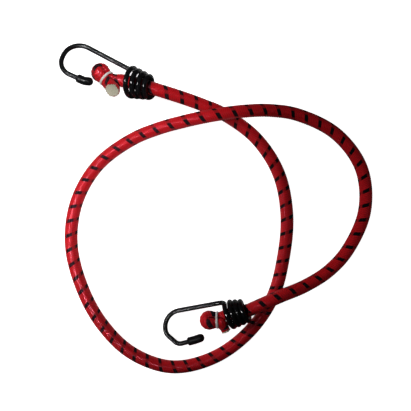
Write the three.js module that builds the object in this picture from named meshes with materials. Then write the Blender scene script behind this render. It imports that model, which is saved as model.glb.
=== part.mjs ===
import * as THREE from 'three';

// Bungee cord: a rubber core in a braided sleeve, with a wire hook at each end.
// It lies loosely looped on a flat surface. Millimetres, +Z up, origin on that
// surface under the middle of the whole.

// Cord
const CORD_D = 8;
const SLEEVE_WALL = 0.6;
const CORE_GAP = 0.3;
const SECTION_SIDES = 12;
const STEP_LENGTH = 13;
const CROSSING_GAP = 0.5;

// Folded end: the cord turns back on itself through a crimped ring
const FOLD_D = 11.8;
const LEG_GAP = 0.8;
const RING_BORE_D = 7.8;
const RING_WIRE_D = 1.5;
const RING_SLIT = 0.6;
const RING_GAP = 0.6;
const SWELL_D = 9.2;
const SWELL_LENGTH = 2.4;
const TAIL_STRAIGHT = 2.7;

// Hook: one coated wire, wound as a cone on the cord, then a straight arm and an open bend
const WIRE_D = 3;
const COIL_TURNS = 3.75;
const COIL_PITCH = 3.55;
const COIL_GAP = 0.4;
const COIL_EXIT = 4;
const ARM_CORNER_R = 3.2;
const SURFACE_GAP = 0.1;

// Tip cap: a soft sleeve pushed over the end of the wire
const CAP_D = 5.2;
const CAP_GAP = 0.3;
const CAP_BEFORE_KINK = 4.5;
const CAP_END = 2.4;
const KINK_R = 6;

// Each hook: where the mouth of its coil lies, which way it points (degrees round +Z),
// how far it dips and rolls, and how much its coil flares. In its plane, as [distance past
// the mouth, offset from the cord's axis]: the start of its arm, the corners of its bend
// with their radii, the kink and the tip, the crimped ring, and the point where the cord
// is round again. The fold points its own way. The tail reaches from the ring to the cut
// end, where the cord is squashed to that share of its diameter.
const HOOKS = {
  a: {
    mouth: [-52.4, 77.5],
    heading: 163.2,
    dip: 4.5,
    roll: 21,
    flare: 2.7,
    arm: [4.4, 8.4],
    bend: [[45.6, 17.6, 10.2], [45.6, -5.5, 10]],
    kink: [27, -8.25],
    tip: [21.5, -7.1],
    ring: [14.8, -2.2],
    legStart: [5, -0.8],
    fold: { heading: 135, dip: 8, roll: 35 },
    tail: { reach: [4.4, -7.8, 7.5], heading: 296, rise: 53, squash: 1.075 },
  },
  b: {
    mouth: [6.9, -65.2],
    heading: 194.5,
    dip: 10.5,
    roll: 0,
    flare: 2.1,
    arm: [3.4, 8.3],
    bend: [[40.2, 10, 11], [40.5, -3.2, 6], [34.8, -11, 4.5]],
    kink: [23.6, -10.5],
    tip: [17.5, -9.8],
    ring: [6.8, -1.6],
    legStart: [-2, 0],
    fold: { heading: 182, dip: 6, roll: 0 },
    tail: { reach: [5.3, -6.6, 0.4], heading: 297, rise: 0, squash: 0.625 },
  },
};

// Free run of the cord from hook a to hook b: [x, y, lift], where lift 0 lies on the
// surface and lift 1 rides over another strand.
const FREE_RUN = [
  [-22.3, 68.6, 0.55], [-14, 66.1, 0.25], [-5.8, 63.2, 0.06], [2.4, 59.8, 0],
  [24, 44.4, 0], [38.5, 22.6, 0], [43.9, -3.2, 0], [41.9, -29.7, 0],
  [34.9, -55.4, 0], [19.8, -77.1, 0], [-1.8, -92.5, 0], [-27.4, -98.1, 0],
  [-52.2, -89.5, 0], [-71.1, -71, 0], [-83.5, -47.7, 0], [-89.7, -22, 0],
  [-86.4, 4.2, 0], [-73.2, 27, 0], [-52.1, 42.8, 0], [-35.7, 49.4, 0.2],
  [-18.6, 53.6, 0.7], [-1.6, 56.8, 1], [15.7, 59.3, 0.85], [33.4, 60.4, 0.35],
  [51.1, 58, 0.02], [74.6, 46.1, 0], [90.1, 25, 0], [92.2, -1.1, 0],
  [81.8, -25.4, 0], [70, -38.5, 0.05], [54.7, -47.6, 0.45], [38, -53.7, 1.05],
];

const CORD_R = CORD_D / 2;
const WIRE_R = WIRE_D / 2;
const CAP_R = CAP_D / 2;
const RING_R = (RING_BORE_D + RING_WIRE_D) / 2;
const COIL_LENGTH = COIL_TURNS * COIL_PITCH;
const LAY_Z = CORD_R * Math.cos(Math.PI / SECTION_SIDES);
const LIFT_Z = CORD_D + CROSSING_GAP;
const UP = new THREE.Vector3(0, 0, 1);

const vec = (x, y, z = 0) => new THREE.Vector3(x, y, z);
const rad = THREE.MathUtils.degToRad;

/** Direction with a heading round +Z and a rise above the level. */
function direction(heading, rise) {
  const level = Math.cos(rad(rise));
  return vec(level * Math.cos(rad(heading)), level * Math.sin(rad(heading)), Math.sin(rad(rise)));
}

/** Axes that point along a heading: x forward, y to the right-hand side, z down, then rolled about x. */
function axes({ heading, dip, roll }) {
  const x = direction(heading, -dip);
  const side = x.clone().cross(UP).normalize();
  const up = side.clone().cross(x);
  const y = side.multiplyScalar(Math.cos(rad(roll))).addScaledVector(up, -Math.sin(rad(roll)));
  return { x, y, z: x.clone().cross(y) };
}

/** A point given along a set of axes. */
function along(origin, { x, y, z }, u, v, w = 0) {
  return origin.clone().addScaledVector(x, u).addScaledVector(y, v).addScaledVector(z, w);
}

/** Closed surface through rings of equal count: its ends are fans, or it returns to its first ring. */
function loft(rings, returns) {
  const sides = rings[0].length;
  const points = rings.flat();
  const faces = [];
  const spans = returns ? rings.length : rings.length - 1;
  for (let i = 0; i < spans; i++) {
    const here = i * sides;
    const next = ((i + 1) % rings.length) * sides;
    for (let k = 0; k < sides; k++) {
      const l = (k + 1) % sides;
      faces.push(here + k, next + k, next + l, here + k, next + l, here + l);
    }
  }
  if (!returns) {
    const last = (rings.length - 1) * sides;
    for (let k = 1; k < sides - 1; k++) {
      faces.push(0, k, k + 1, last, last + k + 1, last + k);
    }
  }
  const geometry = new THREE.BufferGeometry().setFromPoints(points);
  geometry.setIndex(signedVolume(points, faces) < 0 ? faces.reverse() : faces);
  geometry.computeVertexNormals();
  return geometry;
}

function signedVolume(points, faces) {
  let volume = 0;
  for (let i = 0; i < faces.length; i += 3) {
    const [a, b, c] = [points[faces[i]], points[faces[i + 1]], points[faces[i + 2]]];
    volume += a.dot(b.clone().cross(c)) / 6;
  }
  return volume;
}

/** A centreline given by stations, each a point p and a direction t, with a frame that doesn't twist. */
class Centreline extends THREE.Curve {
  constructor(stations) {
    super();
    this.stations = stations;
  }

  getPoint(share) {
    return this.stations[Math.round(share * (this.stations.length - 1))].p.clone();
  }

  getSpacedPoints() {
    return this.stations.map(({ p }) => p.clone());
  }

  computeFrenetFrames() {
    const tangents = this.stations.map(({ t }) => t.clone());
    const normals = [];
    let normal = vec(-tangents[0].y, tangents[0].x, 0.3);
    for (const t of tangents) {
      normal = normal.clone().addScaledVector(t, -normal.dot(t)).normalize();
      normals.push(normal);
    }
    return { tangents, normals, binormals: tangents.map((t, i) => t.clone().cross(normals[i])) };
  }
}

/** Round wire along stations. */
function wire(stations, radius, sides) {
  const corners = Array.from({ length: sides }, (_, k) => {
    const turn = ((k + 0.5) * 2 * Math.PI) / sides;
    return new THREE.Vector2(radius * Math.cos(turn), radius * Math.sin(turn));
  });
  return new THREE.ExtrudeGeometry(new THREE.Shape(corners), {
    steps: stations.length - 1,
    bevelEnabled: false,
    extrudePath: new Centreline(stations),
  });
}

/** Stations along straight runs whose corners are rounded to their radii. */
function bentStations(corners, degreesPerStep) {
  const stations = [];
  corners.forEach(({ p, r }, i) => {
    const before = i > 0 && p.clone().sub(corners[i - 1].p).normalize();
    const after = i < corners.length - 1 && corners[i + 1].p.clone().sub(p).normalize();
    if (!before || !after || !r) {
      stations.push({ p: p.clone(), t: (after || before).clone() });
      return;
    }
    const angle = before.angleTo(after);
    const setback = r * Math.tan(angle / 2);
    const start = p.clone().addScaledVector(before, -setback);
    const inward = after.clone().addScaledVector(before, -after.dot(before)).normalize();
    const steps = Math.max(2, Math.ceil(THREE.MathUtils.radToDeg(angle) / degreesPerStep));
    for (let k = 0; k <= steps; k++) {
      const turned = (angle * k) / steps;
      stations.push({
        p: start.clone().addScaledVector(before, r * Math.sin(turned))
          .addScaledVector(inward, r * (1 - Math.cos(turned))),
        t: before.clone().multiplyScalar(Math.cos(turned)).addScaledVector(inward, Math.sin(turned)),
      });
    }
  });
  return stations;
}

/** Radius of a hook's coil, at the middle of its wire, after a number of turns from its mouth. */
function coilRadius(hook, turns) {
  const narrow = CORD_R + COIL_GAP + WIRE_R;
  return narrow + hook.flare * (1 - turns / COIL_TURNS);
}

/** Point of a hook's coil in the hook's own axes. */
function coilPoint(hook, turns) {
  const radius = coilRadius(hook, turns);
  const turned = turns * 2 * Math.PI;
  return vec(-COIL_PITCH * turns, radius * Math.cos(turned), -radius * Math.sin(turned));
}

/** Corners of the tip, from the last corner of the bend to the end of the cap. */
function tipCorners(hook) {
  const last = hook.bend[hook.bend.length - 1];
  return [vec(last[0], last[1]), vec(...hook.kink), vec(...hook.tip)];
}

/** Stations of a hook's wire: coil from its narrow end, corner, arm, bend and tip. */
function hookStations(hook) {
  const stepsPerTurn = 20;
  const coil = [];
  const cornerTurn = Math.asin(ARM_CORNER_R / coilRadius(hook, 0)) / (2 * Math.PI);
  const steps = Math.ceil((COIL_TURNS - cornerTurn) * stepsPerTurn);
  for (let i = 0; i <= steps; i++) {
    const turns = COIL_TURNS + ((cornerTurn - COIL_TURNS) * i) / steps;
    const ahead = coilPoint(hook, turns - 1e-4).sub(coilPoint(hook, turns + 1e-4));
    coil.push({ p: coilPoint(hook, turns), t: ahead.normalize() });
  }

  const [first] = hook.bend;
  const armStart = vec(...hook.arm);
  const armWay = vec(first[0], first[1]).sub(armStart).normalize();
  const { p: coilEnd, t: coilWay } = coil[coil.length - 1];
  const corner = new THREE.CubicBezierCurve3(
    coilEnd,
    coilEnd.clone().addScaledVector(coilWay, 0.55 * ARM_CORNER_R),
    armStart.clone().addScaledVector(armWay, -0.55 * ARM_CORNER_R),
    armStart,
  );
  const turnIn = [1, 2, 3, 4].map((k) => ({ p: corner.getPoint(k / 5), t: corner.getTangent(k / 5) }));

  const [, kink, tip] = tipCorners(hook);
  const wireEnd = tip.clone().addScaledVector(tip.clone().sub(kink).normalize(), -CAP_END);
  const rest = bentStations([
    { p: armStart },
    ...hook.bend.map(([x, y, r]) => ({ p: vec(x, y), r })),
    { p: kink, r: KINK_R },
    { p: wireEnd },
  ], 14);
  return [...coil, ...turnIn, ...rest];
}

/** Least clear space between the turns of a coil, measured between points on their surfaces. */
function leastCoilGap(hook) {
  let least = Infinity;
  for (let i = 0; i < (COIL_TURNS - 1) * 90; i++) {
    const here = coilPoint(hook, i / 90);
    for (let k = 60; k <= 120; k++) {
      if ((i + k) / 90 <= COIL_TURNS) {
        least = Math.min(least, here.distanceTo(coilPoint(hook, (i + k) / 90)) - WIRE_D);
      }
    }
  }
  return least;
}

/** Cap on the tip: a bore over the wire, a rim, a bent body and a domed end. */
function capGeometry(hook) {
  const sides = 12;
  const [bendEnd, kink, tip] = tipCorners(hook);
  const before = kink.clone().sub(bendEnd).normalize();
  const after = tip.clone().sub(kink).normalize();
  const rim = kink.clone().addScaledVector(before, -CAP_BEFORE_KINK);
  const boreEnd = tip.clone().addScaledVector(after, CAP_GAP - CAP_END);
  const bore = bentStations([{ p: rim }, { p: kink, r: KINK_R }, { p: boreEnd }], 12);
  const domeStart = tip.clone().addScaledVector(after, -CAP_R);
  const body = bentStations([{ p: rim }, { p: kink, r: KINK_R }, { p: domeStart }], 12);
  const ring = ({ p, t }, radius) => {
    const across = { x: t, y: t.clone().cross(UP).normalize(), z: UP };
    return Array.from({ length: sides }, (_, k) => {
      const turn = ((k + 0.5) * 2 * Math.PI) / sides;
      return along(p, across, 0, radius * Math.cos(turn), radius * Math.sin(turn));
    });
  };
  const dome = [25, 50, 75].map((angle) => ring(
    { p: along(domeStart, { x: after, y: UP, z: UP }, CAP_R * Math.sin(rad(angle)), 0), t: after },
    CAP_R * Math.cos(rad(angle)),
  ));
  return loft([
    ...bore.reverse().map((station) => ring(station, WIRE_R + CAP_GAP)),
    ...body.map((station) => ring(station, CAP_R)),
    ...dome,
  ], false);
}

/** Crimped ring in its own plane, its slit on the side away from the fold's near face. */
function ringGeometry() {
  const slit = RING_SLIT / RING_R;
  const steps = 26;
  const stations = Array.from({ length: steps + 1 }, (_, i) => {
    const turn = slit / 2 + ((2 * Math.PI - slit) * i) / steps;
    const outward = vec(Math.cos(turn), Math.sin(turn));
    return { p: outward.clone().multiplyScalar(RING_R), t: UP.clone().cross(outward) };
  });
  return wire(stations, RING_WIRE_D / 2, 8);
}

/** Corners of the cord's section on a circle of radius 1, with a flat side straight down. */
const SECTION = Array.from({ length: SECTION_SIDES }, (_, k) => {
  const turn = ((k + 0.5) * 2 * Math.PI) / SECTION_SIDES;
  return new THREE.Vector2(Math.cos(turn), Math.sin(turn));
});

/** Outline of the free cord, or of a flattened one, a distance in from its outside. */
function roundOutline(squash = 1) {
  return (inset) => SECTION.map(({ x, y }) => (
    new THREE.Vector2((squash * CORD_R - inset) * x, (CORD_R - inset) * y)
  ));
}

/** One leg of a round bundle of two: half a disc, its round side out, some way off the bundle's axis. */
function leg(bundle, out) {
  const flat = LEG_GAP / 2;
  const off = (bundle + flat) / 2;
  const outline = (inset) => SECTION.map(({ x, y }) => {
    const radius = bundle - inset;
    return new THREE.Vector2(out * (Math.max(out * radius * x, flat + inset) - off), radius * y);
  });
  return { off, outline };
}

/** Where a hook's coil, ring and fold lie. */
function placement(hook) {
  const frame = axes(hook);
  const mouthZ = (coilRadius(hook, 0) + WIRE_R) * Math.cos(rad(hook.dip)) + SURFACE_GAP;
  const mouth = vec(...hook.mouth, mouthZ);
  const ring = along(mouth, frame, ...hook.ring);
  return { frame, mouth, ring, fold: axes(hook.fold) };
}

/** Knots of the cord from its cut end, through ring, fold and ring again, to the far side of the coil. */
function endKnots(hook, out) {
  const { frame, mouth, ring, fold } = placement(hook);
  const up = fold.z.clone().negate();
  const ball = FOLD_D / 2;
  const bundle = RING_BORE_D / 2 - RING_GAP;
  const ballX = Math.sqrt(ball ** 2 - bundle ** 2) + RING_WIRE_D / 4;
  const shoulderX = 0.45 * ballX;
  const legAt = (x, width, side, steps) => {
    const { off, outline } = leg(width, out);
    return { p: along(ring, fold, x, side * off), outline, up, steps };
  };

  const { reach, heading, rise, squash } = hook.tail;
  const cut = ring.clone().add(vec(...reach));
  const inner = cut.clone().addScaledVector(direction(heading, rise), -TAIL_STRAIGHT);
  const tail = [
    { p: cut, outline: roundOutline(squash), up, steps: 2 },
    { p: inner, outline: roundOutline(squash), up, steps: 4 },
  ];

  const shoulder = Math.sqrt(ball ** 2 - (ballX - shoulderX) ** 2);
  const { off: turnR, outline: turnOutline } = leg(ball, out);
  const turnBack = [-60, -30, 0, 30, 60].map((angle) => ({
    p: along(ring, fold, ballX + turnR * Math.cos(rad(angle)), turnR * Math.sin(rad(angle))),
    outline: turnOutline,
    up,
    steps: 2,
  }));
  const folded = [
    legAt(-SWELL_LENGTH, SWELL_D / 2, -1, 2),
    legAt(0, bundle, -1, 2),
    legAt(shoulderX, shoulder, -1, 2),
    legAt(ballX, ball, -1, 2),
    ...turnBack,
    legAt(ballX, ball, 1, 2),
    legAt(shoulderX, shoulder, 1, 2),
    legAt(0, bundle, 1, 2),
    legAt(-SWELL_LENGTH, SWELL_D / 2, 1, 4),
  ];

  const inCoil = [-0.35, -0.7, -1].map((share) => [share * COIL_LENGTH, 0]);
  const straight = [hook.legStart, ...inCoil, [-COIL_LENGTH - COIL_EXIT, 0]].map((at) => (
    { p: along(mouth, frame, ...at), outline: roundOutline(), up: UP, steps: 1 }
  ));
  return [...tail, ...folded, ...straight];
}

/** Knots of the whole cord, from cut end to cut end. */
function cordKnots() {
  const free = FREE_RUN.map(([x, y, lift]) => (
    { p: vec(x, y, LAY_Z + lift * LIFT_Z), outline: roundOutline(), up: UP, steps: 0 }
  ));
  const head = endKnots(HOOKS.a, -1);
  const tail = endKnots(HOOKS.b, 1).reverse();
  const turned = tail.map((knot, i) => ({ ...knot, steps: tail[i + 1]?.steps ?? 1 }));
  head[head.length - 1].steps = 0;
  return [...head, ...free, ...turned];
}

/** Places of the cord's sections, counted in knots: set steps in its ends and even ones between. */
function sectionPlaces(knots, curve) {
  const last = knots.length - 1;
  const fineness = 40;
  curve.arcLengthDivisions = fineness * last;
  const lengths = curve.getLengths();
  const inEnds = (from, to) => knots.slice(from, to).flatMap(({ steps }, i) => (
    Array.from({ length: steps }, (_, k) => from + i + k / steps)
  ));

  const from = knots.findIndex(({ steps }) => !steps);
  const to = knots.findLastIndex(({ steps }) => !steps) + 1;
  const start = lengths[fineness * from];
  const run = lengths[fineness * to] - start;
  const count = Math.round(run / STEP_LENGTH);
  const free = Array.from({ length: count }, (_, k) => (
    last * curve.getUtoTmapping(0, start + (run * k) / count)
  ));
  return [...inEnds(0, from), ...free, ...inEnds(to, last), last];
}

/** Stations of the cord: its middle, the two ways across it and its outline. */
function cordStations() {
  const knots = cordKnots();
  const curve = new THREE.CatmullRomCurve3(knots.map(({ p }) => p));
  const last = knots.length - 1;
  const stations = sectionPlaces(knots, curve).map((place) => {
    const knot = knots[Math.floor(place)];
    const next = knots[Math.ceil(place)];
    const blend = THREE.MathUtils.smoothstep(place - Math.floor(place), 0, 1);
    const tangent = curve.getTangent(place / last);
    const side = tangent.clone().cross(knot.up.clone().lerp(next.up, blend)).normalize();
    const outline = (inset) => {
      const ahead = next.outline(inset);
      return knot.outline(inset).map((corner, c) => corner.lerp(ahead[c], blend));
    };
    const p = curve.getPoint(place / last);
    p.z = Math.max(p.z, LAY_Z);
    return { p, side, up: side.clone().cross(tangent), outline };
  });
  return { stations, length: curve.getLength() };
}

/** Corners of the cord at a station, a distance in from its outside. */
function cordRing({ p, side, up, outline }, inset) {
  return outline(inset).map(({ x, y }) => p.clone().addScaledVector(side, x).addScaledVector(up, y));
}

function piece(name, geometry, colour, roughness, metalness) {
  const material = new THREE.MeshStandardMaterial({ color: colour, roughness, metalness });
  const mesh = new THREE.Mesh(geometry, material);
  mesh.name = name;
  return mesh;
}

const bungee = new THREE.Group();

const { stations, length } = cordStations();
const outside = stations.map((station) => cordRing(station, 0));
const inside = stations.map((station) => cordRing(station, SLEEVE_WALL));
bungee.add(piece('cord_cover', loft([...outside, ...inside.reverse()], true), 0xc81e30, 0.6, 0));
bungee.add(piece(
  'rubber_core',
  loft(stations.map((station) => cordRing(station, SLEEVE_WALL + CORE_GAP)), false),
  0xb0ac98,
  0.8,
  0,
));

for (const [letter, hook] of Object.entries(HOOKS)) {
  const { frame, mouth, ring, fold } = placement(hook);

  const backward = fold.x.clone().negate();
  const ringMesh = piece(`crimp_ring_${letter}`, ringGeometry(), 0xc8c4be, 0.3, 1);
  ringMesh.applyMatrix4(new THREE.Matrix4().makeBasis(fold.z, fold.y, backward).setPosition(ring));
  bungee.add(ringMesh);

  const hookGroup = new THREE.Group();
  hookGroup.applyMatrix4(new THREE.Matrix4().makeBasis(frame.x, frame.y, frame.z).setPosition(mouth));
  hookGroup.add(piece(`hook_wire_${letter}`, wire(hookStations(hook), WIRE_R, 8), 0x0c0c10, 0.35, 0));
  hookGroup.add(piece(`tip_cap_${letter}`, capGeometry(hook), 0x101014, 0.5, 0));
  bungee.add(hookGroup);

  console.log(`hook ${letter}: least gap between its turns ${leastCoilGap(hook).toFixed(2)} mm`);
}
console.log(`cord: ${length.toFixed(0)} mm from cut end to cut end`);

export default bungee;
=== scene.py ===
"""Bungee cord: braided sleeve on a latex core, ring-bound folds, coated wire hooks and tip caps."""

import math

import bpy
import numpy as np
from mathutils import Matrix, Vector


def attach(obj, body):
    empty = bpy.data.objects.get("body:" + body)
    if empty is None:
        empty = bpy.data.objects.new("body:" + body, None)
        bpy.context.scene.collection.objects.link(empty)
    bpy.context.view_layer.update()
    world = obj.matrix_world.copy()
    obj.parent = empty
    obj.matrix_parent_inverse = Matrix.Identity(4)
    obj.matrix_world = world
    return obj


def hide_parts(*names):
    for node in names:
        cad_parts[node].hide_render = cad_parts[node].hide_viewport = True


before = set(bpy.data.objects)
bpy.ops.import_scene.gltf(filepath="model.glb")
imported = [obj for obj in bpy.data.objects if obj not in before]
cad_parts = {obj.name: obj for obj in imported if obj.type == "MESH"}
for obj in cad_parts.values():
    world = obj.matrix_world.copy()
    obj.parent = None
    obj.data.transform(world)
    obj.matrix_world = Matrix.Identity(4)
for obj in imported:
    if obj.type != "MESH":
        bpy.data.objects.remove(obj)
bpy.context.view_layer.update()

# Cord, in metres like every length here
CORD_R = 0.004
SLEEVE_WALL = 0.0006
SLEEVE_SHORT = 0.0008
CROSSING_GAP = 0.0005
SPLINE_STEPS = 60

# Braid: yarns each way round, the yarns that make up the tracer, how much of a float its mark
# covers and how dark it is beyond, and how far yarns stand out and sink in
CARRIERS = 8
TRACER_YARNS = (0, 1)
MARK_HALF = 1.25
MARK_EDGE = 0.4
CREST = 0.00005
GROOVE = 0.00016
PARTS_PER_YARN = 3
SLEEVE_SIDES = CARRIERS * PARTS_PER_YARN
INNER_RINGS = 320
# One crossing of two yarns, as a share of a turn
CELL = 1 / (2 * CARRIERS)
# Height at the edge of a yarn, where the one across it stays on top and where it goes under
EDGE_PASSING = 0.92
EDGE_DIPPING = 0.1
# Keeps the fibres of the left-handed yarns apart from those of the right-handed ones
LEFT_YARN_V = 4096

# Painted shade on the sleeve inside the coils, where the turns shade it, counted in knots from the
# nearer cut end
COIL_SHADE_FROM = 15.4
COIL_SHADE_TO = 18.1
COIL_SHADE_FADE = 0.2

# Latex core, and the strands at its cut ends. A strand's rings are its depth behind the cut, the
# spread of the bundle there and a share of the strand's radius.
CORE_GAP = 0.0003
CORE_SIDES = 20
CORE_RINGS = 300
CORE_SET_BACK = 0.0022
STRAND_R = 0.00043
STRAND_SIDES = 8
STRAND_ROWS = 6
STRAND_TOP = 0.0005
STRAND_UNEVEN = 0.00016
STRAND_SCATTER = (12.9, 78.2)
STRAND_RINGS = [(0.0026, 0.79, 1.0), (0.0009, 0.82, 1.0), (0.0003, 1.0, 1.0), (0, 1.0, 0.8)]

# Folded end and its crimped ring
FOLD_R = 0.0059
FOLD_TURN = (-60, -30, 0, 30, 60)
SHOULDER = 0.45
LEG_GAP = 0.0003
RING_BORE_R = 0.0039
RING_WIRE_R = 0.00075
RING_SLIT = 0.0006
RING_GAP = 0.0003
RING_CHAMFER = 0.0002
RING_POINTS = 110
RING_SIDES = 20
SWELL_R = 0.005
SWELL_LENGTH = 0.0018
TAIL_STRAIGHT = 0.0027
CREASE_WIDTH = 0.0009
CREASE_DEPTH = 0.16

# Hook wire
WIRE_R = 0.0015
WIRE_SIDES = 24
WIRE_STEP = 0.0005
WIRE_CHAMFER = 0.0003
COIL_TURNS = 3.75
COIL_LENGTH = 0.0133
COIL_GAP = 0.0004
COIL_EXIT = 0.004
COIL_KNOTS = (0.35, 0.7, 1)
COIL_POINTS = 260
ARM_CORNER_R = 0.0032
CORNER_PULL = 0.55 * ARM_CORNER_R
CORNER_POINTS = 14
KINK_R = 0.006
BEND_STEP = 4
SURFACE_GAP = 0.0001
# Coating: glossy up to this far past the mouth, and swollen from one end of the coil to the other
GLOSSY_TO = 0.005
SWOLLEN_AHEAD = 0.002
SWOLLEN_BEHIND = 0.0025
COATING_FADE = 0.003

# Tip cap
CAP_R = 0.0026
CAP_GAP = 0.00012
CAP_BEFORE_KINK = 0.0045
CAP_END = 0.0024
CAP_LIP = 0.0004
CAP_STEP = 0.0006
CAP_BEND_STEP = 5
CAP_SIDES = 32
CAP_RIM_TURN = (180, 150, 120, 90, 60, 30)
CAP_DOME_TURN = (12, 24, 36, 48, 60, 72, 84)

# Each hook and its end of the cord:
#   mouth, lie: where the coil's mouth lies on the surface, and the hook's heading, dip and roll
#   flare, lean: how much wider the mouth is, and how far the coil leans upwards and sideways
#   coil: how far behind the mouth it starts, its pitch and the radius of its coated wire
#   arm, bend, kink, tip: the wire in the hook's own plane, as distance past the mouth and offset
#     from the cord's axis, with a radius for each corner of the bend
#   ring, leg_start, exit: the ring and the cord where it enters the coil, in the same plane, and
#     the cord's offset where it leaves the coil
#   fold: heading, dip and roll of the folded end
#   reach, tail, squash: the cut end seen from the ring, the heading and rise of the tail, and how
#     wide its section is
# Angles are in degrees.
HOOKS = {
    "a": {
        "mouth": (-0.0524, 0.0775),
        "lie": (163.2, 4.5, 21),
        "flare": 0.0027,
        "lean": (15, -5),
        "coil": (0, 0.00355, 0.00167),
        "arm": (0.0044, 0.0084),
        "bend": [(0.0456, 0.0176, 0.0102), (0.0456, -0.0055, 0.010)],
        "kink": (0.027, -0.00825),
        "tip": (0.0215, -0.0071),
        "ring": (0.0148, -0.0022),
        "leg_start": (0.005, -0.0008),
        "exit": 0,
        "fold": (135, 8, 35),
        "reach": (0.0044, -0.0088, 0.0078),
        "tail": (255, 60),
        "squash": 1.075,
    },
    "b": {
        "mouth": (0.0069, -0.0652),
        "lie": (194.5, 10.5, 0),
        "flare": 0.0021,
        "lean": (0, 3),
        "coil": (0.00055, 0.00315, 0.00157),
        "arm": (0.0034, 0.0083),
        "bend": [(0.0402, 0.010, 0.011), (0.0405, -0.0032, 0.006), (0.0348, -0.011, 0.0045)],
        "kink": (0.0236, -0.0105),
        "tip": (0.0175, -0.0098),
        "ring": (0.0068, -0.0016),
        "leg_start": (-0.002, 0),
        "exit": 0.0007,
        "fold": (182, 6, 31),
        "reach": (0.0055, -0.0073, -0.0006),
        "tail": (297, 0),
        "squash": 0.7,
    },
}

# Free run from hook a to hook b: x, y, and lift, where 1 rides over another strand.
FREE_RUN = [
    (-0.0223, 0.0686, 0.55), (-0.014, 0.0661, 0.25), (-0.0058, 0.0632, 0.06), (0.0024, 0.0598, 0),
    (0.024, 0.0444, 0), (0.0385, 0.0226, 0), (0.0439, -0.0032, 0), (0.0419, -0.0297, 0),
    (0.0349, -0.0554, 0), (0.0198, -0.0771, 0), (-0.0018, -0.0925, 0), (-0.0274, -0.0981, 0),
    (-0.0522, -0.0895, 0), (-0.0711, -0.071, 0), (-0.0835, -0.0477, 0), (-0.0897, -0.022, 0),
    (-0.0864, 0.0042, 0), (-0.0732, 0.027, 0), (-0.0521, 0.0428, 0), (-0.0357, 0.0494, 0.2),
    (-0.0186, 0.0536, 0.7), (-0.0016, 0.0568, 1), (0.0157, 0.0593, 0.85), (0.0334, 0.0604, 0.35),
    (0.0511, 0.058, 0.02), (0.0746, 0.0461, 0), (0.0901, 0.025, 0), (0.0922, -0.0011, 0),
    (0.0818, -0.0254, 0), (0.070, -0.0385, 0.05), (0.0547, -0.0476, 0.45), (0.038, -0.0537, 1.05),
]

# Tracer yarn between the two coils: share of the run, turns made so far, and the angle of its
# row of marks from the top, in degrees towards the right of travel.
RUN_FROM = (-0.0388, 0.0731)
RUN_TO = (0.0216, -0.0595)
TRACER = [
    (0, -0.72, -43), (0.05, 3, -43), (0.088, 6, -46), (0.145, 10.75, -46), (0.2085, 16, -41),
    (0.2985, 23.65, -35), (0.3575, 28.7, -34), (0.421, 34, -21), (0.497, 40.25, -13),
    (0.5665, 45.9, -2), (0.631, 51, 16), (0.659, 53, 20), (0.712, 57, 20), (0.7695, 61.55, 12),
    (0.8605, 69, 9), (0.914, 73.15, 11), (1, 79.7, 12),
]
# The same on the folded ends: distance from the cut, turns, angle.
TRACER_END_A = [(0, -5.6, -37), (0.0082, -5, -37), (0.0215, -4, -30), (0.0373, -3, -53)]
TRACER_END_B = [(0.0269, 82, 32), (0.0136, 83, 45), (0.0047, 84, 30), (0, 84.5, 30)]

LAY_Z = CORD_R + CREST
LIFT_Z = 2 * CORD_R + CROSSING_GAP
RING_R = RING_BORE_R + RING_WIRE_R
UP = np.array((0.0, 0.0, 1.0))


def unit(v):
    v = np.asarray(v, float)
    return v / np.linalg.norm(v, axis=-1, keepdims=True)


def direction(heading, rise):
    """Direction with a heading round +Z and a rise above the level, in degrees."""
    h, r = math.radians(heading), math.radians(rise)
    return np.array((math.cos(r) * math.cos(h), math.cos(r) * math.sin(h), math.sin(r)))


def axes(heading, dip, roll):
    """Axes along a heading: x forward, y to the right-hand side, z down, rolled about x."""
    x = direction(heading, -dip)
    side = unit(np.cross(x, UP))
    turn = math.radians(roll)
    y = side * math.cos(turn) - np.cross(side, x) * math.sin(turn)
    return np.array((x, y, np.cross(x, y)))


def along(origin, basis, *at):
    return origin + np.array(at) @ basis[:len(at)]


def circle(across, up, sides):
    """Points of a circle of radius 1 in the plane of two directions."""
    turn = 2 * np.pi * np.arange(sides) / sides
    return np.cos(turn)[:, None] * across + np.sin(turn)[:, None] * up


def coil_radius(hook, turns):
    return CORD_R + COIL_GAP + WIRE_R + hook["flare"] * (1 - turns / COIL_TURNS)


def placement(hook):
    """Where a hook's coil mouth, ring and fold lie: (mouth, hook axes, ring, fold axes)."""
    basis = axes(*hook["lie"])
    dip = math.radians(hook["lie"][1])
    mouth_z = (coil_radius(hook, 0) + WIRE_R) * math.cos(dip) + SURFACE_GAP
    mouth = np.array((*hook["mouth"], mouth_z))
    return mouth, basis, along(mouth, basis, *hook["ring"]), axes(*hook["fold"])


def spline(knots, per_span):
    """Centripetal spline through knots: its points and their places, counted in knots."""
    knots = np.asarray(knots)
    padded = np.vstack([2 * knots[0] - knots[1], knots, 2 * knots[-1] - knots[-2]])
    share = np.arange(per_span)[:, None] / per_span
    points = []
    for p0, p1, p2, p3 in zip(padded, padded[1:], padded[2:], padded[3:]):
        d0, d1, d2 = (math.sqrt(np.linalg.norm(b - a)) for a, b in ((p0, p1), (p1, p2), (p2, p3)))
        way1 = d1 * ((p1 - p0) / d0 - (p2 - p0) / (d0 + d1) + (p2 - p1) / d1)
        way2 = d1 * ((p2 - p1) / d1 - (p3 - p1) / (d1 + d2) + (p3 - p2) / d2)
        square = 3 * (p2 - p1) - 2 * way1 - way2
        cube = 2 * (p1 - p2) + way1 + way2
        points.append(p1 + share * (way1 + share * (square + share * cube)))
    points.append(knots[-1:])
    points = np.vstack(points)
    return points, np.arange(len(points)) / per_span


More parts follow.
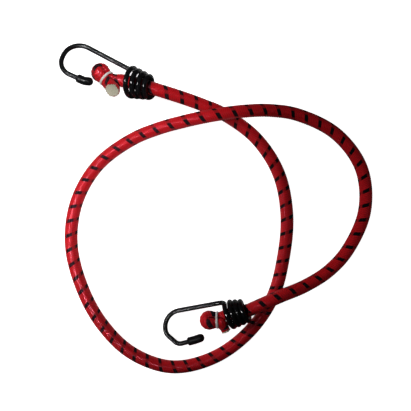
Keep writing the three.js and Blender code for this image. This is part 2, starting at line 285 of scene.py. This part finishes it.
# A section is (half width, half height, where its flat side cuts it, how far it sits off the
# bundle's axis, which side is round). A round section has its flat side far away.
def round_section(squash=1.0):
    return (squash * CORD_R, CORD_R, -1.0, 0.0, 1.0)


def leg_section(bundle, out):
    flat = LEG_GAP / 2
    return (bundle, bundle, flat, (bundle + flat) / 2, out)


def end_knots(hook, out):
    """Knots (point, section, up) from a cut end, round the fold and to the far side of the coil."""
    mouth, basis, ring, fold = placement(hook)
    bundle = RING_BORE_R - RING_GAP
    ball_x = math.sqrt(FOLD_R ** 2 - bundle ** 2) + RING_WIRE_R / 2
    shoulder_x = SHOULDER * ball_x
    shoulder = math.sqrt(FOLD_R ** 2 - (ball_x - shoulder_x) ** 2)

    def leg(x, radius, side):
        section = leg_section(radius, out)
        return along(ring, fold, x, side * section[3]), section, -fold[2]

    cut = ring + np.array(hook["reach"])
    inner = cut - TAIL_STRAIGHT * direction(*hook["tail"])
    flattened = round_section(hook["squash"])
    knots = [(cut, flattened, -fold[2]), (inner, flattened, -fold[2])]

    stages = [(-SWELL_LENGTH, SWELL_R), (0, bundle), (shoulder_x, shoulder), (ball_x, FOLD_R)]
    knots += [leg(x, radius, -1) for x, radius in stages]
    turned = leg_section(FOLD_R, out)
    for angle in FOLD_TURN:
        a = math.radians(angle)
        at = along(ring, fold, ball_x + turned[3] * math.cos(a), turned[3] * math.sin(a))
        knots.append((at, turned, -fold[2]))
    knots += [leg(x, radius, 1) for x, radius in reversed(stages)]

    in_coil = [(-share * COIL_LENGTH, 0) for share in COIL_KNOTS]
    for at in [hook["leg_start"], *in_coil, (-COIL_LENGTH - COIL_EXIT, hook["exit"])]:
        knots.append((along(mouth, basis, *at), round_section(), UP))
    return knots


def outline(sections, angles, inset):
    """Sideways and upward offsets of section points, a distance in from the outside."""
    half_w, half_h, cut, off, out = (sections[:, i, None] for i in range(5))
    cut = cut + np.where(cut > 0, inset, 0)
    past = out * (half_w - inset) * np.sin(angles) - cut
    past = (past + np.sqrt(past ** 2 + CREASE_WIDTH ** 2)) / 2
    rounded = 1 - CREASE_DEPTH * np.exp(-(past / CREASE_WIDTH) ** 2)
    return out * (past + cut - off), (half_h - inset) * np.cos(angles) * rounded


class CordLine:
    """The cord's middle from cut end a to cut end b, with its sections."""

    def __init__(self, knots):
        self.points, self.places = spline([p for p, _, _ in knots], SPLINE_STEPS)
        self.points[:, 2] = np.maximum(self.points[:, 2], LAY_Z)
        steps = np.linalg.norm(np.diff(self.points, axis=0), axis=1)
        self.reach = np.concatenate([[0], np.cumsum(steps)])
        self.length = self.reach[-1]
        self.ahead = unit(np.gradient(self.points, self.reach, axis=0))
        self.sections = np.array([section for _, section, _ in knots])
        self.ups = np.array([up for _, _, up in knots])

    def nearest(self, xy):
        """Reach of the point of the line that lies nearest to a place on the surface."""
        return self.reach[np.argmin(np.linalg.norm(self.points[:, :2] - xy, axis=1))]

    def frame(self, reach):
        """Points of the line, their directions ahead, to the side and up, and where they lie
        between two knots: the knot before, and the share of the one after."""
        def pick(values):
            return np.stack([np.interp(reach, self.reach, v) for v in values.T], axis=-1)

        place = np.interp(reach, self.reach, self.places)
        before = np.minimum(place.astype(int), len(self.ups) - 2)
        share = (place - before)[:, None]
        blend = share * share * (3 - 2 * share)
        ahead = unit(pick(self.ahead))
        up = self.ups[before] * (1 - blend) + self.ups[before + 1] * blend
        side = unit(np.cross(ahead, up))
        return pick(self.points), ahead, side, np.cross(side, ahead), before, blend

    def surface(self, reach, angles, inset):
        """Points round the line: one row for each reach, at angles from the top to the right."""
        at, _, side, up, before, blend = self.frame(reach)
        x0, y0 = outline(self.sections[before], angles, inset)
        x1, y1 = outline(self.sections[before + 1], angles, inset)
        x = (x0 + (x1 - x0) * blend)[..., None]
        y = (y0 + (y1 - y0) * blend)[..., None]
        return at[:, None] + x * side[:, None] + y * up[:, None]


def cord_line():
    free = [(np.array((x, y, LAY_Z + lift * LIFT_Z)), round_section(), UP)
            for x, y, lift in FREE_RUN]
    return CordLine(end_knots(HOOKS["a"], -1.0) + free + end_knots(HOOKS["b"], 1.0)[::-1])


def mesh_object(name, points, faces, smooth=True):
    mesh = bpy.data.meshes.new(name)
    mesh.from_pydata(np.asarray(points).reshape(-1, 3).tolist(), [], faces)
    mesh.polygons.foreach_set("use_smooth", [smooth] * len(mesh.polygons))
    mesh.update()
    obj = bpy.data.objects.new(name, mesh)
    bpy.context.scene.collection.objects.link(obj)
    return obj


def ring_faces(rings, sides, start=0):
    """Quads between rings of points."""
    faces = []
    for here in range(start, start + (rings - 1) * sides, sides):
        after = here + sides
        for k in range(sides):
            beside = (k + 1) % sides
            faces.append((here + k, here + beside, after + beside, after + k))
    return faces


def capped_faces(rings, sides, start=0):
    """Quads between rings of points, and a face over the first and the last ring."""
    last = start + (rings - 1) * sides
    caps = [tuple(range(start, start + sides))[::-1], tuple(range(last, last + sides))]
    return ring_faces(rings, sides, start) + caps


# Braid


def braid_phase(line):
    """Turns of the tracer along the cord: (reach, turns, row angle) at the points of its table."""
    start, end = line.nearest(RUN_FROM), line.nearest(RUN_TO)
    run = [(start + share * (end - start), turns, row) for share, turns, row in TRACER]
    last = [(line.length - back, turns, row) for back, turns, row in TRACER_END_B]
    reach, turns, row = (np.array(v, float) for v in zip(*TRACER_END_A, *run, *last))
    return reach, turns, np.radians(row)


def z_over(iz, js):
    """Whether the right-handed yarn lies over the left-handed one: over two, under two."""
    return (iz + js) % 4 < 2


def yarn_height(i3, j3):
    """Height of the braid at a corner of its lattice, from 0 in a groove to 1 on a yarn."""
    n = PARTS_PER_YARN
    iz, js = i3 // n, j3 // n
    z_edge, s_edge = i3 % n == 0, j3 % n == 0
    s_passes = ~z_over(iz, js) & ~z_over(iz - 1, js)
    z_passes = z_over(iz, js) & z_over(iz, js - 1)
    height = np.ones(i3.shape)
    for edge, passes in ((z_edge & ~s_edge, s_passes), (s_edge & ~z_edge, z_passes)):
        height = np.where(edge, np.where(passes, EDGE_PASSING, EDGE_DIPPING), height)
    return np.where(z_edge & s_edge, 0.0, height)


def sleeve_outside(line, rings, reach, row):
    """Points on the yarns. Every second ring is turned by half a step, so that the faces between
    them have their sides along the two ways of the yarns."""
    step = 2 * np.arange(SLEEVE_SIDES) + (rings % 2)[:, None]
    height = yarn_height((step - rings[:, None]) // 2, (step + rings[:, None]) // 2)
    angles = 2 * np.pi * (step / (2 * SLEEVE_SIDES) - 1.5 * CELL) + row[:, None]
    return line.surface(reach, angles, GROOVE - (GROOVE + CREST) * height)


def sleeve_inside(line, reach, row):
    """Points on the plain wall inside the sleeve."""
    angles = 2 * np.pi * (np.arange(SLEEVE_SIDES) / SLEEVE_SIDES - 1.5 * CELL) + row[:, None]
    return line.surface(reach, angles, np.full((len(reach), 1), SLEEVE_WALL))


def sleeve_faces(rings):
    """Lozenges on the yarns, the ring and step at the middle of each, and all other faces."""
    sides, end = SLEEVE_SIDES, (len(rings) - 1) * SLEEVE_SIDES
    inner = end + sides
    inner_end = inner + (INNER_RINGS - 1) * sides
    q = np.arange(sides)
    ahead = (q + 1) % sides
    lozenges, middles = [], []
    for m in range(1, len(rings) - 1):
        here, odd = m * sides, rings[m] % 2
        between = ahead if odd else q
        lozenges.append((here + q, here - sides + between, here + ahead, here + sides + between))
        middles.append((np.full(sides, rings[m]), 2 * q + 1 + odd))

    edges = [(q, ahead, sides + q), (end + q, end - sides + q, end + ahead)]
    lips = [(inner + q, inner + ahead, end + ahead, end + q),
            (q, ahead, inner_end + ahead, inner_end + q)]
    rest = [face for corners in edges for face in np.stack(corners, axis=1).tolist()]
    rest += [face[::-1] for face in ring_faces(INNER_RINGS, sides, inner)]
    rest += [face for corners in lips for face in np.stack(corners, axis=1).tolist()]
    return np.concatenate(lozenges, axis=1).T.tolist(), np.concatenate(middles, axis=1), rest


def face_values(obj, name, values):
    """Attribute of an object's first faces. The faces after them have 0."""
    padded = np.zeros(len(obj.data.polygons), np.float32)
    padded[:len(values)] = values
    obj.data.attributes.new(name, "FLOAT", "FACE").data.foreach_set("value", padded)


def mark_yarns(sleeve, middles):
    """Tracer attribute, and a map with u along each yarn and v across it."""
    ring, step = middles
    z_yarn, s_yarn = ((step + sign * ring) / (2 * PARTS_PER_YARN) for sign in (-1, 1))
    iz, js = np.floor(z_yarn).astype(int), np.floor(s_yarn).astype(int)
    shown = np.where(np.abs((z_yarn + s_yarn) % 4 - 1.5) < MARK_HALF, 1.0, MARK_EDGE)
    face_values(sleeve, "tracer", np.where(np.isin(iz % CARRIERS, TRACER_YARNS), shown, 0.0))

    half = 1 / (2 * PARTS_PER_YARN)
    corner_z = z_yarn[:, None] + half * np.array((-1, 1, 1, -1))
    corner_s = s_yarn[:, None] + half * np.array((-1, -1, 1, 1))
    over = z_over(iz, js)[:, None]
    uv = np.zeros((len(sleeve.data.loops), 2), np.float32)
    uv[:corner_z.size, 0] = np.where(over, corner_s, corner_z).ravel()
    uv[:corner_z.size, 1] = np.where(over, corner_z, corner_s + LEFT_YARN_V).ravel()
    sleeve.data.uv_layers.new(name="Yarn").data.foreach_set("uv", uv.ravel())


def painted_coil_shade(line, reach):
    """How much painted shade the sleeve gets inside the coils, from 0 to 1."""
    place = np.interp(reach, line.reach, line.places)
    from_end = np.minimum(place, line.places[-1] - place)
    return np.clip(np.minimum(from_end - COIL_SHADE_FROM, COIL_SHADE_TO - from_end) / COIL_SHADE_FADE, 0, 1)


def braided_sleeve(line):
    """Sleeve whose faces follow its yarns, closed by a plain wall inside."""
    per_turn = 2 * SLEEVE_SIDES
    at, turns, row = braid_phase(line)
    turns = turns - 0.5 * CELL
    first, last = (2 * round(turned * per_turn / 2) for turned in turns[[0, -1]])
    rings = np.arange(first, last + 1)
    start, end = SLEEVE_SHORT, line.length - SLEEVE_SHORT
    reach = np.clip(np.interp(rings / per_turn, turns, at), start, end)
    inner_reach = np.linspace(end, start, INNER_RINGS)
    outside = sleeve_outside(line, rings, reach, np.interp(reach, at, row))
    inside = sleeve_inside(line, inner_reach, np.interp(inner_reach, at, row))

    lozenges, middles, rest = sleeve_faces(rings)
    sleeve = mesh_object("sleeve", np.concatenate([outside, inside]), lozenges + rest)
    mark_yarns(sleeve, middles)
    # Painted shade inside the coils, kept as a face attribute that darkens the braid's colour
    face_values(sleeve, "coil_shade", np.repeat(painted_coil_shade(line, reach[1:-1]), SLEEVE_SIDES))
    return sleeve


# Core


def strand_places(squash):
    """Each strand in a cut end: its place across and up, and how far its end is off the cut."""
    wide, high = squash * CORD_R - 0.5 * STRAND_R, CORD_R - 0.5 * STRAND_R
    for row in range(-STRAND_ROWS, STRAND_ROWS + 1):
        for column in range(-STRAND_ROWS, STRAND_ROWS + 1):
            x = 2 * STRAND_R * (column + 0.5 * (row % 2))
            y = math.sqrt(3) * STRAND_R * row
            if (x / wide) ** 2 + (y / high) ** 2 <= 1:
                scatter = STRAND_SCATTER[0] * row + STRAND_SCATTER[1] * column
                yield x, y, STRAND_UNEVEN * math.sin(scatter)


def latex_core(line):
    """Core inside the sleeve, with a bundle of cut strands at each end."""
    reach = np.linspace(CORE_SET_BACK, line.length - CORE_SET_BACK, CORE_RINGS)
    angles = np.tile(2 * np.pi * np.arange(CORE_SIDES) / CORE_SIDES, (CORE_RINGS, 1))
    inset = np.full((CORE_RINGS, 1), SLEEVE_WALL + CORE_GAP / 2)
    parts = [line.surface(reach, angles, inset).reshape(-1, 3)]
    faces = capped_faces(CORE_RINGS, CORE_SIDES)
    count = len(parts[0])
    for letter, end, sign in (("a", 0.0, 1), ("b", line.length, -1)):
        at, ahead, side, up, _, _ = (v[0] for v in line.frame(np.array([end])))
        for x, y, uneven in strand_places(HOOKS[letter]["squash"]):
            for depth, share, radius in STRAND_RINGS:
                back = sign * (depth + uneven * (depth < STRAND_TOP)) * ahead
                ring = STRAND_R * radius * circle(side, up, STRAND_SIDES)
                parts.append(at + back + share * (side * x + up * y + ring))
            found = capped_faces(len(STRAND_RINGS), STRAND_SIDES, count)
            faces += found if sign > 0 else [face[::-1] for face in found]
            count += len(STRAND_RINGS) * STRAND_SIDES
    return mesh_object("core", np.concatenate(parts), faces)


# Wire pieces


def bent(corners, degrees_per_step):
    """Points of straight runs whose corners are rounded: corners are (point, radius)."""
    points = []
    for i, (p, r) in enumerate(corners):
        if not r:
            points.append(p)
            continue
        before, after = unit(p - corners[i - 1][0]), unit(corners[i + 1][0] - p)
        angle = math.acos(float(np.clip(before @ after, -1, 1)))
        start = p - before * r * math.tan(angle / 2)
        inward = unit(after - before * (after @ before))
        steps = max(3, math.ceil(math.degrees(angle) / degrees_per_step))
        for a in np.linspace(0, angle, steps):
            points.append(start + before * r * math.sin(a) + inward * r * (1 - math.cos(a)))
    return points


def resample(points, step):
    points = np.asarray(points)
    reach = np.concatenate([[0], np.cumsum(np.linalg.norm(np.diff(points, axis=0), axis=1))])
    even = np.linspace(0, reach[-1], max(2, round(reach[-1] / step)))
    return np.stack([np.interp(even, reach, v) for v in points.T], axis=-1)


def capped_tube(name, points, radii, sides, first_normal=UP):
    """Tube round a line, whose rings don't twist."""
    ahead = unit(np.gradient(points, axis=0))
    normal = unit(first_normal - ahead[0] * (ahead[0] @ first_normal))
    rings = []
    for p, t, r in zip(points, ahead, radii):
        normal = unit(normal - t * (normal @ t))
        rings.append(p + r * circle(normal, np.cross(t, normal), sides))
    return mesh_object(name, rings, capped_faces(len(rings), sides))


def chamfered(points, radius, chamfer):
    """A line with one more point near each end, and its radii, for edges that are taken off."""
    head, tail = unit(points[1] - points[0]), unit(points[-1] - points[-2])
    points = np.vstack([points[0], points[0] + head * chamfer, points[1:-1],
                        points[-1] - tail * chamfer, points[-1]])
    radii = np.full(len(points), radius)
    radii[[0, -1]] = radius - chamfer
    return points, radii


def coil_point(hook, turns):
    radius = coil_radius(hook, turns)
    turned = turns * 2 * np.pi
    up, side = (math.tan(math.radians(v)) * radius for v in hook["lean"])
    start, pitch, _ = hook["coil"]
    ahead = up * math.sin(turned) + side * math.cos(turned) - start - pitch * turns
    return np.array((ahead, radius * math.cos(turned), -radius * math.sin(turned)))


def plane_point(at):
    return np.array((at[0], at[1], 0.0))


def hook_line(hook):
    """Middle of a hook's wire in its own axes: coil from its narrow end, corner, arm, bend, tip."""
    corner_turn = math.asin(ARM_CORNER_R / coil_radius(hook, 0)) / (2 * math.pi)
    coil = [coil_point(hook, t) for t in np.linspace(COIL_TURNS, corner_turn, COIL_POINTS)]
    arm = plane_point(hook["arm"])
    coil_way = unit(coil[-1] - coil[-2])
    arm_way = unit(plane_point(hook["bend"][0]) - arm)
    ends = (coil[-1], coil[-1] + coil_way * CORNER_PULL, arm - arm_way * CORNER_PULL, arm)
    corner = []
    for t in np.linspace(0, 1, CORNER_POINTS)[1:-1]:
        weights = ((1 - t) ** 3, 3 * t * (1 - t) ** 2, 3 * t * t * (1 - t), t ** 3)
        corner.append(sum(w * p for w, p in zip(weights, ends)))
    kink, tip = plane_point(hook["kink"]), plane_point(hook["tip"])
    wire_end = tip - unit(tip - kink) * CAP_END
    bends = [(plane_point(at), at[2]) for at in hook["bend"]]
    rest = bent([(arm, 0), *bends, (kink, KINK_R), (wire_end, 0)], BEND_STEP)
    return resample(coil + corner + rest, WIRE_STEP)


def hook_wire(letter):
    """Wire of a hook, swollen by its coating in the coil, where the coating is also glossier."""
    hook = HOOKS[letter]
    mouth, basis, _, _ = placement(hook)
    points, radii = chamfered(hook_line(hook), WIRE_R, WIRE_CHAMFER)
    x = points[:, 0]
    from_axis = np.linalg.norm(points[:, 1:], axis=1)
    in_coil = np.clip((GLOSSY_TO - x) / COATING_FADE, 0, 1) * (from_axis > CORD_R)
    from_ends = np.minimum(SWOLLEN_AHEAD - x, x + COIL_LENGTH + SWOLLEN_BEHIND)
    swollen = np.clip(from_ends / COATING_FADE, 0, 1)
    radii += (hook["coil"][2] - WIRE_R) * in_coil * swollen
    wire = capped_tube(f"wire_{letter}", mouth + points @ basis, radii, WIRE_SIDES)
    thick = wire.data.attributes.new("thick", "FLOAT", "POINT")
    thick.data.foreach_set("value", np.repeat(in_coil, WIRE_SIDES).astype(np.float32))
    return wire


def tip_cap(letter):
    """Cap on the tip: a blind bore round the wire, a rounded rim, a bent body and a domed end."""
    hook = HOOKS[letter]
    mouth, basis, _, _ = placement(hook)
    kink, tip = plane_point(hook["kink"]), plane_point(hook["tip"])
    before, after = unit(kink - plane_point(hook["bend"][-1])), unit(tip - kink)
    rim = kink - before * CAP_BEFORE_KINK
    dome_start = tip - after * CAP_R
    bore_r = WIRE_R + CAP_GAP

    def ring(at, way, radius):
        return at + radius * circle(np.cross(way, UP), UP, CAP_SIDES)

    def run(start, end):
        return resample(bent([(start, 0), (kink, KINK_R), (end, 0)], CAP_BEND_STEP), CAP_STEP)

    bore = run(rim, tip + after * (CAP_GAP - CAP_END))[::-1]
    ways = unit(bore[:-1] - bore[1:])
    rings = [ring(at, way, bore_r) for at, way in zip(bore, [ways[0], *ways])]
    for angle in CAP_RIM_TURN:
        a = math.radians(angle)
        middle = bore_r + CAP_LIP if angle > 90 else CAP_R - CAP_LIP
        at = rim + before * CAP_LIP * (1 - math.sin(a))
        rings.append(ring(at, before, middle + CAP_LIP * math.cos(a)))
    body = run(rim + before * CAP_LIP, dome_start)
    ways = unit(body[1:] - body[:-1])
    rings += [ring(at, way, CAP_R) for at, way in zip(body, [*ways, after])]
    for angle in CAP_DOME_TURN:
        a = math.radians(angle)
        at = dome_start + after * CAP_R * math.sin(a)
        rings.append(ring(at, after, CAP_R * math.cos(a)))
    faces = capped_faces(len(rings), CAP_SIDES)
    return mesh_object(f"cap_{letter}", mouth + np.array(rings) @ basis, faces)


def crimp_ring(letter):
    """Ring of wire round a fold, with its slit on the hidden side."""
    _, _, ring, fold = placement(HOOKS[letter])
    slit = RING_SLIT / RING_R
    turn = np.linspace(slit / 2, 2 * np.pi - slit / 2, RING_POINTS)
    points = ring + RING_R * (np.cos(turn)[:, None] * fold[2] + np.sin(turn)[:, None] * fold[1])
    points, radii = chamfered(points, RING_WIRE_R, RING_CHAMFER)
    return capped_tube(f"ring_{letter}", points, radii, RING_SIDES, fold[0])


# Materials


class Look:
    """A material with one Principled shader, built node by node."""

    def __init__(self, name, **sockets):
        self.material = bpy.data.materials.new(name)
        self.material.use_nodes = True
        self.tree = self.material.node_tree
        self.shader = self.tree.nodes["Principled BSDF"]
        for socket, value in sockets.items():
            self.shader.inputs[socket.replace("_", " ")].default_value = value

    def node(self, kind, inputs=None, **settings):
        made = self.tree.nodes.new(kind)
        for key, value in settings.items():
            setattr(made, key, value)
        for key, value in (inputs or {}).items():
            if isinstance(value, bpy.types.NodeSocket):
                self.tree.links.new(value, made.inputs[key])
            else:
                made.inputs[key].default_value = value
        return made

    def noise(self, vector, scale, detail=3.0):
        inputs = {"Vector": vector, "Scale": scale, "Detail": detail}
        return self.node("ShaderNodeTexNoise", inputs).outputs["Fac"]

    def ramp(self, factor, stops):
        """Colour ramp. A stop's colour is three values, or one value for a grey."""
        made = self.node("ShaderNodeValToRGB", {"Fac": factor})
        elements = made.color_ramp.elements
        for element, (place, colour) in zip(elements, stops):
            element.position = place
            element.color = (*colour, 1) if isinstance(colour, tuple) else (*[colour] * 3, 1)
        return made.outputs["Color"]

    def mix(self, factor, a, b, blend="MIX"):
        inputs = {0: factor, 6: a, 7: b}
        return self.node("ShaderNodeMix", inputs, data_type="RGBA", blend_type=blend).outputs[2]

    def maths(self, operation, *values):
        inputs = dict(enumerate(values))
        return self.node("ShaderNodeMath", inputs, operation=operation).outputs[0]

    def spread(self, factor, low, high):
        inputs = {"Value": factor, "To Min": low, "To Max": high}
        return self.node("ShaderNodeMapRange", inputs).outputs[0]

    def attribute(self, name):
        settings = {"attribute_name": name, "attribute_type": "GEOMETRY"}
        return self.node("ShaderNodeAttribute", **settings).outputs["Fac"]

    def object_place(self):
        return self.node("ShaderNodeTexCoord").outputs["Object"]

    def bump(self, height, strength, distance):
        inputs = {"Height": height, "Strength": strength, "Distance": distance}
        self.set("Normal", self.node("ShaderNodeBump", inputs).outputs["Normal"])

    def set(self, socket, value):
        self.tree.links.new(value, self.shader.inputs[socket])


def braid_look():
    """Filaments along each yarn, with painted shade in the grooves and inside the coils, and the
    tracer in black and without gloss."""
    look = Look("braid", Specular_IOR_Level=0.5, Specular_Tint=(0.75, 0.28, 0.4, 1))
    yarn = look.node("ShaderNodeUVMap", uv_map="Yarn").outputs["UV"]
    stretched = look.node("ShaderNodeMapping", {"Vector": yarn, "Scale": (0.7, 9.0, 1.0)})
    fibre = look.noise(stretched.outputs["Vector"], 1.0, 2.0)
    patch = look.noise(look.object_place(), 260.0, 2.0)
    across = look.maths("FRACT", look.node("ShaderNodeSeparateXYZ", {"Vector": yarn}).outputs["Y"])
    # Painted shade in the grooves: the colour darkens towards each yarn's edges
    from_middle = look.maths("ABSOLUTE", look.maths("SUBTRACT", across, 0.5))
    red = look.ramp(fibre, [(0.3, (0.43, 0.007, 0.010)), (0.7, (0.63, 0.012, 0.018))])
    black = look.ramp(fibre, [(0.3, (0.003, 0.003, 0.004)), (0.7, (0.008, 0.008, 0.009))])
    tracer = look.attribute("tracer")
    colour = look.mix(tracer, red, black)
    for factor, stops in (
        (from_middle, [(0.3, 1.0), (0.5, 0.45)]),
        (patch, [(0.3, 0.9), (0.7, 1.0)]),
        # Painted shade inside the coils: the colour drops to 5% there
        (look.attribute("coil_shade"), [(0, 1.0), (1, 0.05)]),
    ):
        colour = look.mix(1.0, colour, look.ramp(factor, stops), "MULTIPLY")
    look.set("Base Color", colour)
    roughness = look.maths("ADD", look.spread(fibre, 0.32, 0.4), look.spread(tracer, 0, 0.55))
    look.set("Roughness", roughness)
    look.bump(fibre, 0.28, 0.00006)
    return look.material


def latex_look():
    """Cream rubber with a fine mottle."""
    look = Look("latex", Specular_IOR_Level=0.3)
    place = look.object_place()
    mottle = look.noise(place, 1400.0)
    cream = [(0.3, (0.40, 0.37, 0.27)), (0.7, (0.58, 0.55, 0.44))]
    look.set("Base Color", look.ramp(mottle, cream))
    look.set("Roughness", look.spread(mottle, 0.5, 0.7))
    look.bump(look.noise(place, 6000.0), 0.3, 0.00005)
    return look.material


def coating_look():
    """Black dipped coating with a slight orange peel, glossier where it lies thick in the coil."""
    look = Look("coating", Specular_IOR_Level=0.4)
    place = look.object_place()
    smear = look.noise(place, 350.0)
    black = [(0.3, (0.002, 0.002, 0.0025)), (0.7, (0.006, 0.006, 0.007))]
    look.set("Base Color", look.ramp(smear, black))
    thin = look.spread(look.attribute("thick"), 0.2, 0)
    look.set("Roughness", look.maths("ADD", look.spread(smear, 0.13, 0.2), thin))
    look.bump(look.noise(place, 1500.0, 1.0), 0.15, 0.00006)
    return look.material


def vinyl_look():
    """Satin black vinyl."""
    look = Look("vinyl", Specular_IOR_Level=0.1)
    place = look.object_place()
    smear = look.noise(place, 500.0)
    black = [(0.3, (0.003, 0.003, 0.0035)), (0.7, (0.008, 0.008, 0.009))]
    look.set("Base Color", look.ramp(smear, black))
    look.set("Roughness", look.spread(smear, 0.24, 0.36))
    look.bump(look.noise(place, 2600.0), 0.12, 0.00005)
    return look.material


def ring_look():
    """Bright plating, slightly worn."""
    look = Look("plating", Metallic=0.3)
    place = look.object_place()
    wear = look.noise(place, 900.0)
    bright = [(0.3, (0.72, 0.70, 0.67)), (0.7, (0.95, 0.93, 0.90))]
    look.set("Base Color", look.ramp(wear, bright))
    look.set("Roughness", look.spread(wear, 0.28, 0.42))
    look.bump(look.noise(place, 4000.0), 0.1, 0.00004)
    return look.material


def put_on(obj, material, body, slot, *nodes):
    obj.data.materials.append(material)
    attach(obj, body)
    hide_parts(*nodes)
    return obj


# Pieces

line = cord_line()
sleeve = put_on(braided_sleeve(line), braid_look(), "cord", "braid", "cord_cover")
put_on(latex_core(line), latex_look(), "cord", "core_rubber", "rubber_core")

coating, vinyl, plating = coating_look(), vinyl_look(), ring_look()
for letter in "ab":
    put_on(crimp_ring(letter), plating, "cord", "ring_steel", f"crimp_ring_{letter}")
    put_on(hook_wire(letter), coating, f"hook_{letter}", "hook_coating", f"hook_wire_{letter}")
    put_on(tip_cap(letter), vinyl, f"hook_{letter}", "cap_vinyl", f"tip_cap_{letter}")

# Stage: a white floor with walls, just under the part

FLOOR_HALF = 2
FLOOR_DROP = 0.0002

corners = [(x * FLOOR_HALF, y * FLOOR_HALF) for x, y in ((-1, -1), (1, -1), (1, 1), (-1, 1))]
floor = mesh_object("floor", [(x, y, z) for z in (0, FLOOR_HALF) for x, y in corners],
                    [(0, 1, 2, 3), (1, 0, 4, 5), (2, 1, 5, 6), (3, 2, 6, 7), (0, 3, 7, 4)], False)
floor.location.z = -FLOOR_DROP
floor_look = Look("floor", Base_Color=(0.9, 0.9, 0.9, 1), Roughness=0.9, Specular_IOR_Level=0.1,
                  Emission_Color=(1, 1, 1, 1), Emission_Strength=1.0)
floor.data.materials.append(floor_look.material)
floor.visible_diffuse = False
floor.visible_glossy = False


def light(name, kind, place, aim, energy, **settings):
    made = bpy.data.lights.new(name, kind)
    made.energy = energy
    for key, value in settings.items():
        setattr(made, key, value)
    obj = bpy.data.objects.new(name, made)
    obj.location = place
    obj.rotation_euler = (Vector(aim) - Vector(place)).to_track_quat("-Z", "Y").to_euler()
    obj.visible_camera = False
    bpy.context.scene.collection.objects.link(obj)
    return obj


# Lights that shade the part without showing in its gloss
shading = [
    light("key", "SPOT", (-0.02, 0.07, 0.42), (-0.078, 0.042, 0), 5.2,
          spot_size=math.radians(33), spot_blend=1.0, shadow_soft_size=0.03),
    light("side key", "SPOT", (-0.45, -0.06, 0.2), (-0.1, -0.058, 0), 3.1,
          spot_size=math.radians(28), spot_blend=1.0, shadow_soft_size=0.03),
    light("fill", "AREA", (-0.55, 0.22, 0.36), (0, 0, 0), 2.25, shape="DISK", size=0.25),
    light("overhead", "AREA", (0, 0, 1), (0, 0, 0), 0.6, shape="SQUARE", size=1.2),
    light("right fill", "AREA", (0.5, -0.1, 0.35), (0, 0, 0), 0.36, shape="DISK", size=0.25),
    light("bounce", "AREA", (-0.055, 0.01, 0.0001), (-0.055, 0.01, 1), 0.12,
          shape="ELLIPSE", size=0.19, size_y=0.24),
    light("far bounce", "AREA", (0, 0, 0.00015), (0, 0, 1), 0.07, shape="DISK", size=0.34),
]
for source in shading:
    source.visible_glossy = False

# Lights that show only in the gloss
shine = [
    light("window", "AREA", (-0.29, -0.01, 0.52), (-0.1, 0.03, 0), 0.2,
          shape="RECTANGLE", size=0.22, size_y=0.12, spread=math.radians(17)),
    light("window b", "AREA", (-0.36, -0.11, 0.34), (0.018, -0.062, 0.008), 0.006,
          shape="RECTANGLE", size=0.13, size_y=0.05, spread=math.radians(5.5)),
    light("card a", "AREA", (-0.043, 0.103, 0.0001), (-0.043, 0.103, 1), 0.0035,
          shape="DISK", size=0.05),
    light("card b", "AREA", (0.012, -0.043, 0.0001), (0.012, -0.043, 1), 0.0015,
          shape="DISK", size=0.05),
]
for source in shine:
    source.visible_diffuse = False

# Dim surroundings, lighter overhead
world = bpy.data.worlds.new("studio")
bpy.context.scene.world = world
world.use_nodes = True
nodes, links = world.node_tree.nodes, world.node_tree.links
background = nodes["Background"]
place = nodes.new("ShaderNodeTexCoord")
split = nodes.new("ShaderNodeSeparateXYZ")
rise = nodes.new("ShaderNodeValToRGB")
low, high = rise.color_ramp.elements
low.position, low.color = 0.0, (0.6, 0.6, 0.6, 1)
high.position, high.color = 0.9, (1, 1, 1, 1)
links.new(place.outputs["Generated"], split.inputs[0])
links.new(split.outputs["Z"], rise.inputs[0])
links.new(rise.outputs["Color"], background.inputs["Color"])
background.inputs["Strength"].default_value = 0.012

# Camera straight above, as in the photograph
camera = bpy.data.cameras.new("camera")
camera.sensor_width = 36
camera.lens = 63.0
camera.clip_start = 0.01
camera_object = bpy.data.objects.new("camera", camera)
camera_object.location = (-0.0065, 0.0019, 0.450)
bpy.context.scene.collection.objects.link(camera_object)
bpy.context.scene.camera = camera_object
bpy.context.scene.view_settings.view_transform = "Standard"
